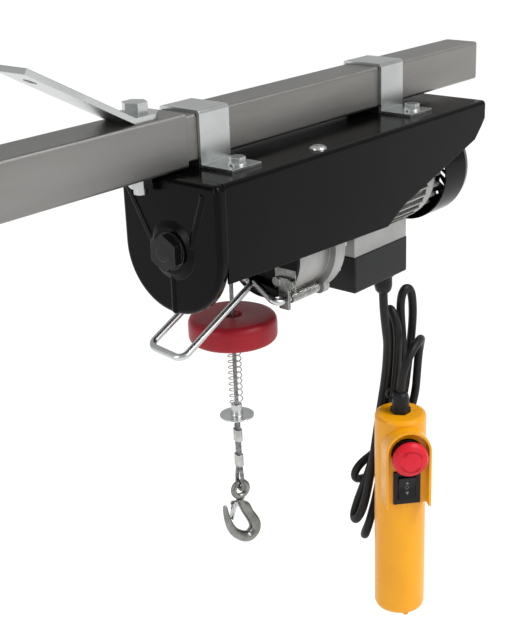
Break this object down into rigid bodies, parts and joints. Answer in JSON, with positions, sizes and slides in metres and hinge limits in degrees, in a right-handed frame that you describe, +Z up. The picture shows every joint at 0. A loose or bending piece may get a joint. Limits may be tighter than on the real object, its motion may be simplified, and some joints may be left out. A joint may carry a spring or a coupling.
{
  "type": "electric wire-rope hoist",
  "caption": "Compact electric wire-rope hoist clamped under a square support arm, with drum, gearbox, finned motor, limit lever, load hook and a hand-held pendant control on a cable.",
  "frame": {"origin": "centre of the support arm's cut root face", "axes": "+X along the arm away from its root, +Y to the hoist's back, +Z up"},
  "size_m": [0.6605, 0.1554, 0.6708],
  "materials": {
    "sleeve_steel": "satin, bare drawn steel",
    "tube_steel": "satin, bare drawn steel",
    "zinc": "bright zinc plate",
    "black_paint": "gloss black powder coat",
    "black_steel": "blackened steel",
    "bearing_steel": "polished",
    "machined_steel": "turned",
    "rope_steel": "twisted bright wire",
    "cast_aluminium": "die cast, matt",
    "dark_aluminium": "extruded, matt",
    "black_plastic": "fine texture",
    "grey_plastic": "matt",
    "black_rubber": "smooth sheath",
    "rubber_pad": "matt",
    "red_paint": "gloss red",
    "red_plastic": "gloss",
    "yellow_plastic": "satin",
    "spring_steel": "bright wire",
    "ferrule_aluminium": "pressed"
  },
  "bodies": {
    "hoist": {"outer_tube": "sleeve_steel", "inner_tube": "tube_steel", "brace_bar": "zinc", "brace_bolt": "zinc", "brace_nut": "zinc", "clamp_left": "zinc", "clamp_right": "zinc", "clamp_bolts": "zinc", "clamp_nuts": "zinc", "clamp_pads": "rubber_pad", "frame_shell": "black_paint", "plate_rivet": "zinc", "end_plate": "black_paint", "hub_nut": "black_steel", "drum_bearings": "bearing_steel", "side_plate": "black_paint", "gear_housing": "cast_aluminium", "gear_cover": "cast_aluminium", "housing_screws": "zinc", "motor_body": "dark_aluminium", "end_bell": "cast_aluminium", "fan_cover": "black_paint", "terminal_base": "cast_aluminium", "terminal_lid": "black_plastic", "capacitor": "grey_plastic", "mains_gland": "black_plastic", "cable_gland": "black_plastic", "lever_bracket": "zinc", "lever_spring": "spring_steel", "limit_switch": "black_plastic", "rope_upper": "rope_steel"},
    "drum": {"drum": "black_steel", "rope_pack": "rope_steel", "drum_shaft": "machined_steel", "drum_gear": "machined_steel"},
    "lay": {"lay_shaft": "machined_steel", "lay_gear": "machined_steel"},
    "motor": {"motor_shaft": "machined_steel", "rotor": "dark_aluminium", "fan": "black_plastic"},
    "lever": {"limit_lever": "zinc"},
    "load": {"rope_lower": "rope_steel", "ferrules": "ferrule_aluminium", "top_hat": "zinc", "disc_spring": "spring_steel"},
    "weight": {"weight_disc": "red_paint"},
    "hook": {"hook": "zinc", "latch_pin": "zinc"},
    "latch": {"latch": "zinc"},
    "pendant": {"pendant_front": "yellow_plastic", "pendant_rear": "yellow_plastic", "estop_collar": "black_plastic", "rocker_frame": "black_plastic", "pendant_gland": "black_plastic", "cable_drop": "black_rubber", "cable_hank": "black_rubber", "cable_tail": "black_rubber"},
    "estop": {"estop_stem": "black_plastic"},
    "estop_cap": {"estop_button": "red_plastic"},
    "rocker": {"rocker": "black_plastic"}
  },
  "joints": [
    {"name": "drum_spin", "type": "hinge", "parent": "hoist", "child": "drum", "pos_m": [0.24, -0.022, -0.088], "axis": [-1, 0, 0], "range_deg": [0, 660]},
    {"name": "lay_spin", "type": "hinge", "parent": "hoist", "child": "lay", "pos_m": [0.32, -0.022, -0.124], "axis": [-1, 0, 0], "range_deg": [-3230, 10]},
    {"name": "motor_spin", "type": "hinge", "parent": "hoist", "child": "motor", "pos_m": [0.43, -0.022, -0.088], "axis": [-1, 0, 0], "range_deg": [-10, 15780]},
    {"name": "hook_lift", "type": "slide", "parent": "hoist", "child": "load", "axis": [0, 0, -1], "range_m": [0, 0.3]},
    {"name": "weight_slide", "type": "slide", "parent": "load", "child": "weight", "axis": [0, 0, -1], "range_m": [0, 0.02], "stiffness_N_per_m": 6000, "deforming": ["disc_spring"]},
    {"name": "limit_lever_tilt", "type": "hinge", "parent": "hoist", "child": "lever", "pos_m": [0.31, -0.051, -0.16], "axis": [1, 0, 0], "range_deg": [0, 8], "stiffness_Nm_per_rad": 1.5},
    {"name": "hook_swing", "type": "hinge", "parent": "load", "child": "hook", "pos_m": [0.278, 0.004, -0.3647], "axis": [0.309, 0.9511, 0], "range_deg": [-40, 40]},
    {"name": "latch_open", "type": "hinge", "parent": "hook", "child": "latch", "pos_m": [0.27068, 0.00638, -0.3817], "axis": [0.309, 0.9511, 0], "range_deg": [-28, 0], "stiffness_Nm_per_rad": 0.02},
    {"name": "pendant_swing", "type": "hinge", "parent": "hoist", "child": "pendant", "pos_m": [0.47, -0.032, -0.2091], "axis": [0, 1, 0], "range_deg": [-8, 8]},
    {"name": "estop_press", "type": "slide", "parent": "pendant", "child": "estop", "axis": [0.6626, 0.749, 0], "range_m": [0, 0.004]},
    {"name": "estop_twist", "type": "hinge", "parent": "estop", "child": "estop_cap", "pos_m": [0.44818, -0.0827, -0.379], "axis": [-0.6626, -0.749, 0], "range_deg": [0, 45], "stiffness_Nm_per_rad": 0.05},
    {"name": "rocker_tilt", "type": "hinge", "parent": "pendant", "child": "rocker", "pos_m": [0.46011, -0.06922, -0.4195], "axis": [0.749, -0.6626, 0], "range_deg": [-11, 11], "stiffness_Nm_per_rad": 0.1}
  ],
  "couplings": [
    {"joint": "lay_spin", "follows": "drum_spin", "ratio": -4.8889},
    {"joint": "motor_spin", "follows": "drum_spin", "ratio": 23.901},
    {"joint": "hook_lift", "follows": "drum_spin", "m_per_rad": 0.026}
  ]
}
